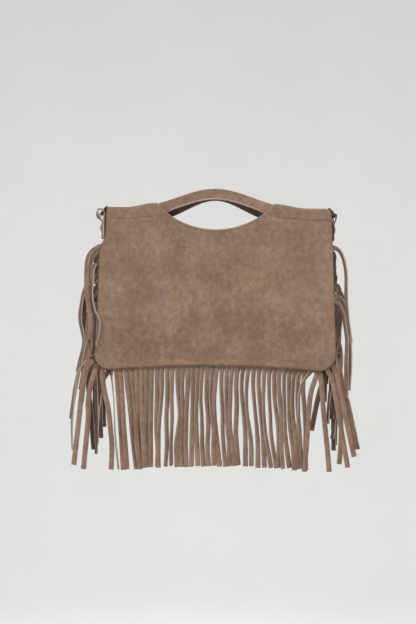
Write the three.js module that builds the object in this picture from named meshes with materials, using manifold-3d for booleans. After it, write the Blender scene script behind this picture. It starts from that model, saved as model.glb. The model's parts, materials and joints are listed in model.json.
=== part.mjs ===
// A fringed suede clutch bag that hangs from its own handle.
// Millimetres, +Z up, +X to the right, the front faces -Y.
// The origin is at the underside of the handle's middle, where a hand holds the bag.
import * as THREE from 'three';
import { mergeVertices } from 'three/addons/utils/BufferGeometryUtils.js';
import Module from 'manifold-3d';

const wasm = await Module();
wasm.setup();
const { lerp, clamp, smoothstep, degToRad } = THREE.MathUtils;

// Outline of the two panels
const SHOULDER_Z = -12;
const TOP_HALF_WIDTH = 139.5;
const FOOT_HALF_WIDTH = 146.5;
const TOP_CORNER_RADIUS = 6;
const PEAK_X = 69.6;
const PEAK_RISE = 5.2;
const PEAK_RUN = 40.4;
const SCALLOP_Z = -37.9;
const SCALLOP_CURVE = 0.0055;
const SCALLOP_LIP = 4.5;
const FOOT_Z = -201.4;
const FOOT_SAG = 5.6;
const CORNER_X = 129.5;
const CORNER_Z = -190;
const CORNER_RADIUS = 17;
const PINCH = { left: 8, right: 1.8 };
const PINCH_FULL = 50;
const PINCH_END = 74;
const PINCH_REACH = 0.55;

// Depth of the bag
const PANEL = 1.4;
const SEAM_HALF_DEPTH = 2.4;
const MOUTH_HALF_DEPTH = 7.2;
const RIM_RADIUS = 6;
const BELLY = 5.2;
const FACING_FOOT_Z = -64;

// Facing, lining and handles
const FACING_Y = { inner: 2.8, outer: 4 };
const FACING_INSET = 10;
const LINING = 0.5;
const LINING_GAP = 0.9;
const LINING_INSET = 10;
const LINING_TOP_Z = -66;
const BAND = 11;
const BAND_THICKNESS = { grip: 2.4, root: 1.2 };
const BAND_Y = { grip: 1.4, root: 4.9 };
const BAND_END = 88;
const BAND_BOW = 10.55;
const BAND_HALF_WAVE = 94;
const BAND_TUCK = 3;
const BACK_BAND_DROP = 8;
const TUCK_FROM = 62;
const TUCK_TO = 72;
const ROOT_FROM = 20;
const ROOT_TO = 52;

// Fringe
const PITCH = 6.25;
const STRAND = { width: 5.5, thickness: 1.4, length: 122, root: 3, lead: 1.5 };
const HEADER = { outside: 1, inside: 7, thickness: 1.2, gap: degToRad(1.5) };
const FRINGE_TOP_Z = -55;
const SIDE_STRANDS = 21;
const SIDE_FIRST_Z = -58;
const SIDE_REACH = { top: 24, foot: 5 };
const SIDE_FLARE = 0.002;
const ROW_Y = 3.2;
const CORNER_STRANDS = [
  { turn: degToRad(79), bend: 3.4, row: 1 },
  { turn: degToRad(57), bend: 4, row: -1 },
];
const CORNER_SLOPE = 0.03;
const FOOT_STRANDS = 41;

// Tabs, rings and rivets
const TAB = { width: 14, layer: 1.4, loop: 1.8, gap: 0.5, footZ: -50 };
const RING_BAR_Z = -21;
const TAB_EDGE_Z = -50;
const WIRE_RADIUS = 1.3;
const RING = { half: 8.8, arm: 2.6, barPast: 0.7, lean: degToRad(35) };
const RIVET = { z: -37, cap: 5, dome: 2, shank: 1.5, tail: 2.8, tailThickness: 0.7 };
const CLEARANCE = 0.3;

// Magnetic snap, its halves mated
const SNAP = { z: -52, radius: 7, face: 2.5, stud: 1.9, boss: 2.9, rise: 1.2, post: 1.2, postEnd: 5.4 };
const WASHER = { radius: 5, near: 4.3, far: 4.9 };

// ---------------------------------------------------------------- outline

function halfWidth(z) {
  const down = clamp((SHOULDER_Z - z) / (SHOULDER_Z - CORNER_Z), 0, 1);
  return lerp(TOP_HALF_WIDTH, FOOT_HALF_WIDTH, down);
}

// How far a ring's tab draws the side of the bag in at a height.
function pinch(side, z) {
  const most = side < 0 ? PINCH.left : PINCH.right;
  return most * (1 - smoothstep(-z, PINCH_FULL, PINCH_END));
}

function sideX(side, z) {
  return side * (halfWidth(z) - pinch(side, z));
}

// The place at a share s of the way from the middle (0) to a side (-1 or 1).
function acrossX(s, z, inset) {
  const drawn = pinch(s, z) * smoothstep(Math.abs(s), PINCH_REACH, 1);
  return s * (halfWidth(z) - inset) - Math.sign(s) * drawn;
}

function topZ(x) {
  const a = Math.abs(x);
  if (a <= PEAK_X) {
    return SCALLOP_Z + SCALLOP_CURVE * a * a + SCALLOP_LIP * (a / PEAK_X) ** 6;
  }
  if (a <= PEAK_X + PEAK_RUN) {
    const fall = Math.cos((Math.PI * (a - PEAK_X)) / PEAK_RUN);
    return SHOULDER_Z + PEAK_RISE * 0.5 * (1 + fall);
  }
  const past = Math.max(0, a - TOP_HALF_WIDTH + TOP_CORNER_RADIUS);
  const drop = Math.sqrt(Math.max(0, TOP_CORNER_RADIUS ** 2 - past ** 2));
  return SHOULDER_Z - TOP_CORNER_RADIUS + drop;
}

function footZ(x, inset) {
  const a = Math.min(Math.abs(x), FOOT_HALF_WIDTH - inset);
  if (a <= CORNER_X) {
    return FOOT_Z - FOOT_SAG * (a / CORNER_X) ** 2 + inset;
  }
  const radius = CORNER_RADIUS - inset;
  return CORNER_Z - Math.sqrt(Math.max(0, radius ** 2 - (a - CORNER_X) ** 2));
}

// How far a point of a panel is from the side and foot seams.
function seamDistance(x, z) {
  const a = Math.abs(x);
  if (a > CORNER_X && z < CORNER_Z) {
    return CORNER_RADIUS - Math.hypot(a - CORNER_X, z - CORNER_Z);
  }
  return Math.min(Math.abs(sideX(Math.sign(x) || 1, z)) - a, z - footZ(x, 0));
}

// The panel's outer face: a rolled rim at the seams, flat at the mouth, and a shallow belly.
function halfDepth(x, z) {
  const inward = clamp(seamDistance(x, z) / RIM_RADIUS, 0, 1);
  const rim = Math.sqrt(1 - (1 - inward) ** 2);
  const height = clamp((z - FOOT_Z) / (LINING_TOP_Z - FOOT_Z), 0, 1);
  const across = 1 - (x / FOOT_HALF_WIDTH) ** 2;
  const belly = BELLY * across * 0.5 * (1 - Math.cos(2 * Math.PI * height));
  return SEAM_HALF_DEPTH + (MOUTH_HALF_DEPTH - SEAM_HALF_DEPTH) * rim + belly;
}

// ---------------------------------------------------------------- helpers

function cleaned(geometry) {
  geometry.deleteAttribute('normal');
  geometry.deleteAttribute('uv');
  return mergeVertices(geometry, 1e-4);
}

function toSolid(geometry) {
  const merged = cleaned(geometry);
  return new wasm.Manifold(
    new wasm.Mesh({
      numProp: 3,
      vertProperties: new Float32Array(merged.attributes.position.array),
      triVerts: new Uint32Array(merged.index.array),
    }),
  );
}

function toGeometry(solid) {
  const made = solid.getMesh();
  const geometry = new THREE.BufferGeometry();
  geometry.setAttribute('position', new THREE.BufferAttribute(made.vertProperties, 3));
  geometry.setIndex(new THREE.BufferAttribute(made.triVerts, 1));
  return geometry;
}

function joined(geometries) {
  return toGeometry(geometries.map(toSolid).reduce((all, next) => all.add(next)));
}

function cut(geometry, ...tools) {
  return toGeometry(tools.map(toSolid).reduce((left, tool) => left.subtract(tool), toSolid(geometry)));
}

// A closed sheet from a box whose corners are carried to at(column, row, face).
// Columns run towards +X, rows towards +Z, and face 0 is behind face 1, which is towards -Y.
function sheet(columns, rows, at) {
  const across = columns.length - 1;
  const up = rows.length - 1;
  const geometry = new THREE.BoxGeometry(1, 1, 1, across, up, 1);
  const corners = geometry.attributes.position;
  for (let i = 0; i < corners.count; i += 1) {
    const column = columns[Math.round((corners.getX(i) + 0.5) * across)];
    const row = rows[Math.round((corners.getY(i) + 0.5) * up)];
    const { x, y, z } = at(column, row, corners.getZ(i) > 0 ? 1 : 0);
    corners.setXYZ(i, x, y, z);
  }
  return cleaned(geometry);
}

function even(from, to, steps) {
  return Array.from({ length: steps + 1 }, (_, i) => lerp(from, to, i / steps));
}

function mirrored(half) {
  const others = half.filter((value) => value > 0).map((value) => -value);
  return [...others.reverse(), ...half];
}

// A round bar on the snap's axis, which runs through the bag's depth.
function pinAlongY(radius, from, to) {
  const pin = new THREE.CylinderGeometry(radius, radius, to - from, 16);
  pin.translate(0, (from + to) / 2, SNAP.z);
  return pin;
}

function turned(profile, segments) {
  return new THREE.LatheGeometry(profile.map(([r, y]) => new THREE.Vector2(r, y)), segments);
}

// ---------------------------------------------------------------- panels

const PANEL_COLUMNS = mirrored([
  0, 0.1, 0.2, 0.3, 0.4, 0.46, PEAK_X / TOP_HALF_WIDTH, 0.58, 0.7, 0.82, 0.91, 0.958, 0.982, 0.995, 1,
]);
const PANEL_ROWS = [0, 0.005, 0.016, 0.034, 0.14, 0.28, 0.42, 0.56, 0.68, 0.74, 0.79, 0.84, 0.9, 1];

function panelGeometry() {
  return sheet(PANEL_COLUMNS, PANEL_ROWS, (s, v, face) => {
    const z = lerp(footZ(s * FOOT_HALF_WIDTH, 0), topZ(s * TOP_HALF_WIDTH), v);
    const x = acrossX(s, z, 0);
    return { x, y: -(halfDepth(x, z) - PANEL * (1 - face)), z };
  });
}

function facingGeometry() {
  const blank = sheet(PANEL_COLUMNS, [0, 1], (s, v, face) => {
    const z = lerp(FACING_FOOT_Z, topZ(s * (TOP_HALF_WIDTH - FACING_INSET)), v);
    const x = acrossX(s, z, FACING_INSET);
    return { x, y: -lerp(FACING_Y.inner, FACING_Y.outer, face), z };
  });
  const room = pinAlongY(SNAP.post + CLEARANCE, -FACING_Y.outer - 1, -FACING_Y.inner + 1);
  return cut(blank, room);
}

// A flat pouch, open at the top: the outer form less the inner one.
function liningGeometry() {
  const columns = mirrored([0, 0.25, 0.5, 0.75, 0.9, 0.97, 1]);
  const rows = even(0, 1, 7);
  const form = (inset, shrink, top) =>
    sheet(columns, rows, (s, v, face) => {
      const z = lerp(footZ(s * (FOOT_HALF_WIDTH - inset), inset), top, v);
      const x = acrossX(s, z, inset);
      const depth = halfDepth(x, z) - PANEL - LINING_GAP - shrink;
      return { x, y: face ? -depth : depth, z };
    });
  const outer = form(LINING_INSET, 0, LINING_TOP_Z);
  const inner = form(LINING_INSET + LINING, LINING, LINING_TOP_Z + 1);
  return cut(outer, inner);
}

// ---------------------------------------------------------------- handles

function bandTopZ(x) {
  const a = Math.abs(x);
  const tuck = BAND_TUCK * smoothstep(a, TUCK_FROM, TUCK_TO);
  return BAND - BAND_BOW * (1 - Math.cos((Math.PI * a) / BAND_HALF_WAVE)) - tuck;
}

function handleGeometry(drop) {
  const stations = mirrored([0, 10, 20, 28, 34, 40, 46, 52, 60, 68, 76, 82, BAND_END]);
  return sheet(stations, [0, 1], (x, v, face) => {
    const a = Math.abs(x);
    const rooted = smoothstep(a, ROOT_FROM, ROOT_TO);
    const thickness = lerp(BAND_THICKNESS.grip, BAND_THICKNESS.root, rooted);
    const middle = lerp(BAND_Y.grip, BAND_Y.root, rooted);
    const z = bandTopZ(x) - drop * smoothstep(a, 0, ROOT_TO) - BAND * (1 - v);
    return { x, y: -(middle + (face - 0.5) * thickness), z };
  });
}

// ---------------------------------------------------------------- fringe

// A place on the rim with the angle of its outward direction, measured from straight down.
function sideRim(side, z) {
  return { x: sideX(side, z), z, side, turn: Math.PI / 2 };
}

function cornerRim(side, turn) {
  const x = side * (CORNER_X + CORNER_RADIUS * Math.sin(turn));
  return { x, z: CORNER_Z - CORNER_RADIUS * Math.cos(turn), side, turn };
}

function footRim(x) {
  return { x, z: footZ(x, 0), side: Math.sign(x) || 1, turn: 0 };
}

// The strip that is sewn into the seam, which the strands hang from.
function headerGeometry(rim) {
  const places = [...rim.keys()];
  return sheet(places, [0, 1], (i, v, face) => {
    const { x, z, side, turn } = rim[i];
    const outward = lerp(-HEADER.inside, HEADER.outside, v);
    const y = (face - 0.5) * HEADER.thickness;
    return { x: x + outward * side * Math.sin(turn), y, z: z - outward * Math.cos(turn) };
  });
}

// One strand: it leaves the rim squarely, bends down, and hangs with a slight outward slope.
// A strand that bends also turns by a quarter, so that its flat lies across the seam, in a row.
function strandGeometry({ x, z, side, turn }, bend, slope, row) {
  const lead = STRAND.root + STRAND.lead;
  const arc = bend * (turn - slope);
  const bends = bend > 0 ? [0, 1 / 3, 2 / 3, 1].map((share) => lead + arc * share) : [];
  const stations = [0, ...bends, STRAND.root + STRAND.length];
  return sheet([-0.5, 0.5], stations, (wide, along, face) => {
    const past = clamp(along - lead, 0, arc);
    const angle = bend > 0 ? turn - past / bend : turn;
    const before = Math.min(along, lead) - STRAND.root;
    const after = Math.max(0, along - lead - arc);
    const out = before * Math.sin(turn) + bend * (Math.cos(angle) - Math.cos(turn));
    const down = before * Math.cos(turn) + bend * (Math.sin(turn) - Math.sin(angle));
    const twist = arc > 0 ? (Math.PI * past) / arc / 2 : 0;
    const w = wide * side * STRAND.width;
    const t = (face - 0.5) * STRAND.thickness;
    const inPlane = w * Math.cos(twist) - t * Math.sin(twist);
    return {
      x: x + side * (out + after * Math.sin(angle) + inPlane * Math.cos(angle)),
      y: w * Math.sin(twist) + t * Math.cos(twist) + row * ROW_Y * Math.sin(twist),
      z: z - down - after * Math.cos(angle) + inPlane * Math.sin(angle),
    };
  });
}

function sideFringeGeometry(side) {
  const straight = even(FRINGE_TOP_Z, CORNER_Z, 9).map((z) => sideRim(side, z));
  const round = even(Math.PI / 2, Math.PI / 4 + HEADER.gap, 3).map((turn) => cornerRim(side, turn));
  const rim = [...straight, ...round.slice(1)];
  const pieces = [headerGeometry(side < 0 ? rim : rim.reverse())];
  for (let i = 0; i < SIDE_STRANDS; i += 1) {
    const bend = lerp(SIDE_REACH.top, SIDE_REACH.foot, i / (SIDE_STRANDS - 1));
    const row = i % 2 ? 1 : -1;
    pieces.push(strandGeometry(sideRim(side, SIDE_FIRST_Z - PITCH * i), bend, SIDE_FLARE * i, row));
  }
  for (const { turn, bend, row } of CORNER_STRANDS) {
    pieces.push(strandGeometry(cornerRim(side, turn), bend, CORNER_SLOPE, row));
  }
  return joined(pieces);
}

function footFringeGeometry() {
  const corner = even(Math.PI / 4 - HEADER.gap, 0, 3);
  const left = corner.map((turn) => cornerRim(-1, turn));
  const right = corner.map((turn) => cornerRim(1, turn)).reverse();
  const foot = even(-CORNER_X, CORNER_X, 16).slice(1, -1).map(footRim);
  const pieces = [headerGeometry([...left, ...foot, ...right])];
  const first = (-PITCH * (FOOT_STRANDS - 1)) / 2;
  for (let i = 0; i < FOOT_STRANDS; i += 1) {
    pieces.push(strandGeometry(footRim(first + PITCH * i), 0, 0, 0));
  }
  for (const side of [-1, 1]) {
    for (const out of [1, 2]) {
      const turn = Math.asin((PITCH * out - first - CORNER_X) / CORNER_RADIUS);
      pieces.push(strandGeometry({ ...cornerRim(side, turn), turn: 0 }, 0, 0, 0));
    }
  }
  return joined(pieces);
}

// ---------------------------------------------------------------- tabs, rings, rivets

const tabInnerX = (side) => Math.abs(sideX(side, TAB_EDGE_Z)) + TAB.gap;
const ringBarX = (side) => tabInnerX(side) + TAB.layer + TAB.loop;

// The tab in its own frame: the ring's bar at the origin, the bag towards -X.
function tabGeometry() {
  const near = -TAB.loop - TAB.layer;
  const legOut = near + 2 * TAB.layer;
  const foot = TAB.footZ - RING_BAR_Z;
  const throat = Math.sqrt((TAB.loop + TAB.layer) ** 2 - legOut ** 2);
  const outline = new THREE.Shape();
  outline.moveTo(near, foot);
  outline.lineTo(legOut, foot);
  outline.lineTo(legOut, -throat);
  outline.absarc(0, 0, TAB.loop + TAB.layer, Math.atan2(-throat, legOut), Math.PI, false);
  outline.closePath();
  const eye = new THREE.Path();
  eye.absarc(0, 0, TAB.loop, 0, 2 * Math.PI, true);
  outline.holes.push(eye);
  const cutFrom = { depth: TAB.width, bevelEnabled: false, curveSegments: 8 };
  const strap = new THREE.ExtrudeGeometry(outline, cutFrom);
  strap.rotateX(Math.PI / 2);
  strap.translate(0, TAB.width / 2, 0);
  const room = (radius, x, halfLength) => {
    const tool = new THREE.CylinderGeometry(radius + CLEARANCE, radius + CLEARANCE, 2 * halfLength, 16);
    tool.rotateZ(Math.PI / 2);
    tool.translate(x, 0, RIVET.z - RING_BAR_Z);
    return tool;
  };
  const hole = room(RIVET.shank, legOut, 2 * TAB.layer + 1);
  const recess = room(RIVET.tail, near, RIVET.tailThickness + 2 * CLEARANCE);
  return cut(strap, hole, recess);
}

// The rivet in the tab's frame, its axis along X and its cap outward.
function rivetGeometry() {
  const near = -TAB.loop - TAB.layer + CLEARANCE;
  const face = -TAB.loop + TAB.layer + CLEARANCE;
  const profile = [[0, near], [RIVET.tail, near], [RIVET.tail, near + RIVET.tailThickness]];
  profile.push([RIVET.shank, near + RIVET.tailThickness], [RIVET.shank, face], [RIVET.cap, face]);
  for (const angle of [15, 40, 65]) {
    const turn = degToRad(angle);
    profile.push([RIVET.cap * Math.cos(turn), face + RIVET.dome * Math.sin(turn)]);
  }
  profile.push([0, face + RIVET.dome]);
  const rivet = turned(profile, 16);
  rivet.rotateZ(-Math.PI / 2);
  rivet.translate(0, 0, RIVET.z - RING_BAR_Z);
  return cleaned(rivet);
}

// A D-ring standing straight up from its bar, which lies along Y.
function ringGeometry() {
  const bow = new THREE.CurvePath();
  const foot = (side) => new THREE.Vector3(0, side * RING.half, 0);
  const shoulder = (side) => new THREE.Vector3(0, side * RING.half, RING.arm);
  bow.add(new THREE.LineCurve3(foot(-1), shoulder(-1)));
  const arc = new THREE.Curve();
  arc.getPoint = (t) => {
    const turn = Math.PI * (1 - t);
    return new THREE.Vector3(0, RING.half * Math.cos(turn), RING.arm + RING.half * Math.sin(turn));
  };
  bow.add(arc);
  bow.add(new THREE.LineCurve3(shoulder(1), foot(1)));
  const section = new THREE.Shape();
  section.absarc(0, 0, WIRE_RADIUS, 0, 2 * Math.PI, false);
  const bend = new THREE.ExtrudeGeometry(section, { extrudePath: bow, steps: 18, curveSegments: 5 });
  const bar = new THREE.CylinderGeometry(WIRE_RADIUS, WIRE_RADIUS, 2 * (RING.half + RING.barPast), 12);
  return joined([bend, bar]);
}

// ---------------------------------------------------------------- snap

// The stud half: a disc on the front facing, its boss towards +Y and its post through the facing.
function studGeometry() {
  const { radius, face, stud, boss, rise, post, postEnd } = SNAP;
  const profile = [[0, -postEnd], [post, -postEnd], [post, -face], [radius, -face], [radius, -face + stud]];
  profile.push([boss, -face + stud], [boss, -face + stud + rise], [0, -face + stud + rise]);
  const half = turned(profile, 20);
  half.translate(0, 0, SNAP.z);
  return cleaned(half);
}

// The socket half: a disc on the back facing, with the recess that takes the boss.
function socketGeometry() {
  const { radius, face, stud, boss, rise, post, postEnd } = SNAP;
  const front = -face + stud + CLEARANCE;
  const floor = front + rise + CLEARANCE;
  const profile = [[0, floor], [boss + CLEARANCE, floor], [boss + CLEARANCE, front], [radius, front]];
  profile.push([radius, face], [post, face], [post, postEnd], [0, postEnd]);
  const half = turned(profile, 20);
  half.translate(0, 0, SNAP.z);
  return cleaned(half);
}

function washerGeometry() {
  const disc = pinAlongY(WASHER.radius, -WASHER.far, -WASHER.near);
  const hole = pinAlongY(SNAP.post + CLEARANCE, -WASHER.far - 1, -WASHER.near + 1);
  return cut(disc, hole);
}

// ---------------------------------------------------------------- the bag

const finish = (color, roughness, metalness) =>
  new THREE.MeshStandardMaterial({ color, roughness, metalness });
const suede = () => finish(0x8a7060, 0.95, 0);
const innerSuede = () => finish(0x7d6557, 0.95, 0);
const cotton = () => finish(0xb8a68f, 0.9, 0);
const brass = () => finish(0x8f6f3c, 0.4, 1);
const steel = () => finish(0x9b9b98, 0.35, 1);

const bag = new THREE.Group();

function add(parent, name, geometry, material) {
  const mesh = new THREE.Mesh(geometry, material);
  mesh.name = name;
  parent.add(mesh);
  return mesh;
}

// What is sewn on the front is sewn on the back too, turned to face the other way.
const front = new THREE.Group();
const back = new THREE.Group();
back.scale.y = -1;
bag.add(front, back);

add(front, 'front_panel', panelGeometry(), suede());
add(back, 'back_panel', panelGeometry(), suede());
add(front, 'front_facing', facingGeometry(), innerSuede());
add(back, 'back_facing', facingGeometry(), innerSuede());
add(front, 'front_handle', handleGeometry(0), suede());
add(back, 'back_handle', handleGeometry(BACK_BAND_DROP), suede());
add(front, 'stud_washer', washerGeometry(), steel());
add(back, 'socket_washer', washerGeometry(), steel());
add(bag, 'snap_stud', studGeometry(), brass());
add(bag, 'snap_socket', socketGeometry(), brass());
add(bag, 'lining', liningGeometry(), cotton());
add(bag, 'fringe_left', sideFringeGeometry(-1), suede());
add(bag, 'fringe_bottom', footFringeGeometry(), suede());
add(bag, 'fringe_right', sideFringeGeometry(1), suede());

for (const [name, side] of [['left', -1], ['right', 1]]) {
  const corner = new THREE.Group();
  corner.position.set(side * ringBarX(side), 0, RING_BAR_Z);
  corner.scale.x = side;
  bag.add(corner);
  add(corner, `tab_${name}`, tabGeometry(), suede());
  add(corner, `rivet_${name}`, rivetGeometry(), brass());
  const ring = add(corner, `d_ring_${name}`, ringGeometry(), brass());
  ring.rotation.y = -RING.lean;
}

export default bag;
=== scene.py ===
# %% [markdown]
# # A fringed suede clutch bag
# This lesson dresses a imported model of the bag: every soft solid of the model gives way to a piece
# with the true form of cut, sewn and hanging suede. The model is the frame, so a piece goes where the
# model says, and nothing here is moved to fit. The camera and the outline's few driving sizes come
# first, then the finishes, then each piece from the panels outwards to the rings.

# %% The frame
import json
import math
import random
from dataclasses import dataclass

import bmesh
import bpy
from mathutils import Matrix, Vector, noise


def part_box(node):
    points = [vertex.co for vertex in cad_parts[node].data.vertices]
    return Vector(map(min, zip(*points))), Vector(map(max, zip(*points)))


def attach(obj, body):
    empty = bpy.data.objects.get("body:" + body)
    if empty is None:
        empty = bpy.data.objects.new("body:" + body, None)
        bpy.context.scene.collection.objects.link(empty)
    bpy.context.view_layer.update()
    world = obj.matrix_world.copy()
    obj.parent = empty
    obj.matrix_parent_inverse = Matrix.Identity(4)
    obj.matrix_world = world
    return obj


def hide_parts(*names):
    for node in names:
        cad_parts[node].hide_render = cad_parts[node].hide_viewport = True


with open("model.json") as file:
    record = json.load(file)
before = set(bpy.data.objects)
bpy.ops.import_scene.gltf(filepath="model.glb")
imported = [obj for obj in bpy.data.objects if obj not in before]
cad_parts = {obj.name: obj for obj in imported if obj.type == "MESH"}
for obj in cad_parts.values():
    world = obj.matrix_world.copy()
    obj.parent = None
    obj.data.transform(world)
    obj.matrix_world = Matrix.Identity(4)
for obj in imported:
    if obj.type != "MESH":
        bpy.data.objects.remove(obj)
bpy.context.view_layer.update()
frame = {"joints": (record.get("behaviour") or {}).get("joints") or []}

MM = 0.001

# %% [markdown]
# ## Helpers
# Shapes are worked out in millimetres and become metres when a piece is made. A sheet of suede
# starts as a flat grid, and one function of the place on the grid carries each corner to where it
# hangs. A Solidify modifier then gives the leather its thickness, with the cut edge as a finish of
# its own. This beats modelling both faces by hand, because the fold can be changed in one place.

# %% Smooth steps and stations
def clamp(value, low=0.0, high=1.0):
    return max(low, min(high, value))


def ease(value, start, end):
    """0 before start, 1 after end, and a smooth rise between."""
    t = clamp((value - start) / (end - start))
    return t * t * (3 - 2 * t)


def lerp(a, b, t):
    return a + (b - a) * t


def even(start, end, steps):
    return [lerp(start, end, i / steps) for i in range(steps + 1)]


def both_ways(half):
    """Stations from -1 to 1 out of those from 0 to 1."""
    return [-s for s in reversed(half[1:])] + half


def hump(value, middle, width):
    return math.exp(-(((value - middle) / width) ** 2))


def flowing(points, per_span=8):
    """Points along a smooth curve that passes through all the given points."""
    ends = [points[0] * 2 - points[1], *points, points[-1] * 2 - points[-2]]
    curve = []
    for a, b, c, d in zip(ends, ends[1:], ends[2:], ends[3:]):
        for t in even(0, 1, per_span)[:-1]:
            bend = (b - c) * 3 + d - a
            curve.append(b + ((c - a) + ((a * 2 - b * 5 + c * 4 - d) + bend * t) * t) * (t / 2))
    return curve + [points[-1]]


def walked(curve, length, steps):
    """Places and headings at equal steps along a curve, run on straight if it is too short."""
    stations = []
    k, start, done = 0, curve[0], 0.0
    for i in range(steps + 1):
        want = length * i / steps
        while k < len(curve) - 2 and done + (curve[k + 1] - curve[k]).length < want:
            done += (curve[k + 1] - curve[k]).length
            k += 1
        heading = (curve[k + 1] - curve[k]).normalized()
        stations.append((curve[k] + heading * (want - done), heading))
    return stations


# %% A grid carried to its place, and a finished piece
def draped(columns, rows, at):
    """A grid whose corner at a column and a row goes to at(column, row)."""
    across, up = len(columns) - 1, len(rows) - 1
    bm = bmesh.new()
    bmesh.ops.create_grid(bm, x_segments=across, y_segments=up, size=0.5)
    for vert in bm.verts:
        column = columns[round((vert.co.x + 0.5) * across)]
        row = rows[round((vert.co.y + 0.5) * up)]
        vert.co = at(column, row)
    return bm


def facing_back(bm):
    """The same shape seen from the other side of the bag."""
    bmesh.ops.scale(bm, vec=(1, -1, 1), verts=bm.verts)
    bmesh.ops.reverse_faces(bm, faces=bm.faces)
    return bm


def make_piece(name, bm, finishes, body="bag", stands_for=()):
    bmesh.ops.scale(bm, vec=(MM, MM, MM), verts=bm.verts)
    mesh = bpy.data.meshes.new(name)
    bm.to_mesh(mesh)
    bm.free()
    mesh.shade_smooth()
    for finish in finishes:
        mesh.materials.append(finish)
    piece = bpy.data.objects.new(name, mesh)
    bpy.context.scene.collection.objects.link(piece)
    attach(piece, body)
    if stands_for:
        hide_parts(*stands_for)
    print(f"{name}: {len(mesh.polygons)} faces")
    return piece


def give_thickness(piece, thickness, offset=-1):
    """Leather behind the modelled face; slot 1 is the cut edge and slot 2 the flesh side."""
    leather = piece.modifiers.new("leather", "SOLIDIFY")
    leather.thickness = thickness * MM
    leather.offset = offset
    leather.material_offset_rim = 1
    leather.material_offset = 2


# %% [markdown]
# ## Shader maths
# A finish is a handful of noises, mixed and fed to one Principled shader. Written as node calls it
# is hard to read, so a socket is wrapped in a small class whose operators add the maths nodes.

# %% A socket that can be added, taken away and multiplied
class Socket:
    def __init__(self, tree, socket):
        self.tree = tree
        self.socket = socket

    def node(self, kind, settings=None, inputs=None, output=0):
        """Adds a node, applies its settings first, then its inputs, and gives one output back."""
        made = self.tree.nodes.new(kind)
        for name, value in (settings or {}).items():
            if name == "stops":
                for i, (place, colour) in enumerate(value):
                    stops = made.color_ramp.elements
                    stop = stops[i] if i < len(stops) else stops.new(place)
                    stop.position = place
                    stop.color = (*colour, 1)
            else:
                setattr(made, name, value)
        for name, value in (inputs or {}).items():
            if isinstance(value, Socket):
                self.tree.links.new(value.socket, made.inputs[name])
            else:
                made.inputs[name].default_value = value
        return Socket(self.tree, made.outputs[output])

    def maths(self, operation, first, second=0.0):
        return self.node("ShaderNodeMath", {"operation": operation}, {0: first, 1: second})

    def __add__(self, other):
        return self.maths("ADD", self, other)

    def __radd__(self, other):
        return self.maths("ADD", other, self)

    def __sub__(self, other):
        return self.maths("SUBTRACT", self, other)

    def __rsub__(self, other):
        return self.maths("SUBTRACT", other, self)

    def __mul__(self, other):
        return self.maths("MULTIPLY", self, other)

    def __rmul__(self, other):
        return self.maths("MULTIPLY", other, self)


# %% A new finish, its shader and its noises
def new_finish(name, roughness, metallic=0.0, **fixed):
    """A material with one Principled shader; fixed values go on the shader's own sockets."""
    material = bpy.data.materials.new(name)
    material.use_nodes = True
    tree = material.node_tree
    shader = tree.nodes["Principled BSDF"]
    shader.inputs["Roughness"].default_value = roughness
    shader.inputs["Metallic"].default_value = metallic
    for socket, value in fixed.items():
        shader.inputs[socket.replace("_", " ")].default_value = value
    place = Socket(tree, tree.nodes.new("ShaderNodeTexCoord").outputs["Object"])
    return material, shader, place


def cloudy(place, scale, detail=3.0, stretch=(1, 1, 1), roughness=0.5):
    """Noise from 0 to 1 whose patches are about one over scale metres wide."""
    scaled = place.node("ShaderNodeMapping", {}, {"Vector": place, "Scale": stretch})
    inputs = {"Vector": scaled, "Scale": scale, "Detail": detail, "Roughness": roughness}
    return place.node("ShaderNodeTexNoise", {}, inputs)


def feed(shader, name, value):
    value.tree.links.new(value.socket, shader.inputs[name])


def add_bump(shader, height, strength, distance):
    inputs = {"Height": height, "Strength": strength, "Distance": distance}
    feed(shader, "Normal", height.node("ShaderNodeBump", {}, inputs))


# %% [markdown]
# ## Suede
# Suede is split leather with its flesh side buffed to a short nap. Its colour changes where the nap
# lies another way: soft patches a few centimetres wide, smaller ones inside them, and a grain of
# single fibres. Three noises of those sizes drive one ramp, and the finest also lifts the surface.
# A little sheen gives the pale bloom where the face turns away. Cut edges show raw, paler fibre.

# %% The suede finishes
RAW_FIBRE = (0.36, 0.305, 0.26, 1)


def suede_finish(name, dark, middle, light):
    """Reads two attributes: tone shifts a piece's colour, by its own random tone and by painted shade, and
    worn shows the raw fibre.
    """
    fixed = {"Sheen_Weight": 0.18, "Sheen_Roughness": 0.45, "Specular_IOR_Level": 0.1}
    fixed["Sheen_Tint"] = (0.80, 0.70, 0.62, 1)
    material, shader, place = new_finish(name, 0.96, **fixed)
    patches = cloudy(place, 26, 2.0)
    strokes = cloudy(place, 140, 3.0, (1.2, 1.0, 1.0), 0.6)
    grain = cloudy(place, 520, 3.0, (1, 1, 1), 0.7)
    tone = place.node("ShaderNodeAttribute", {"attribute_name": "tone"}, {}, "Fac")
    nap = 0.30 * patches + 0.38 * strokes + 0.32 * grain + tone
    # Painted shadow: the darkest stop is reached only where the tone attribute carries painted shade.
    shade = tuple(0.42 * v for v in dark)
    stops = {"stops": [(0.16, shade), (0.37, dark), (0.50, middle), (0.63, light)]}
    colour = place.node("ShaderNodeValToRGB", stops, {"Fac": nap})
    worn = place.node("ShaderNodeAttribute", {"attribute_name": "worn"}, {}, "Fac")
    mix = {0: worn, 6: colour, 7: RAW_FIBRE}
    feed(shader, "Base Color", place.node("ShaderNodeMix", {"data_type": "RGBA"}, mix, 2))
    fibres = cloudy(place, 2600, 2.0, (1, 1, 1), 0.8)
    add_bump(shader, 0.6 * fibres + 0.4 * grain, 0.35, 0.0005)
    return material


SUEDE = suede_finish("suede", (0.141, 0.088, 0.062), (0.197, 0.125, 0.089), (0.266, 0.178, 0.133))
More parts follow.
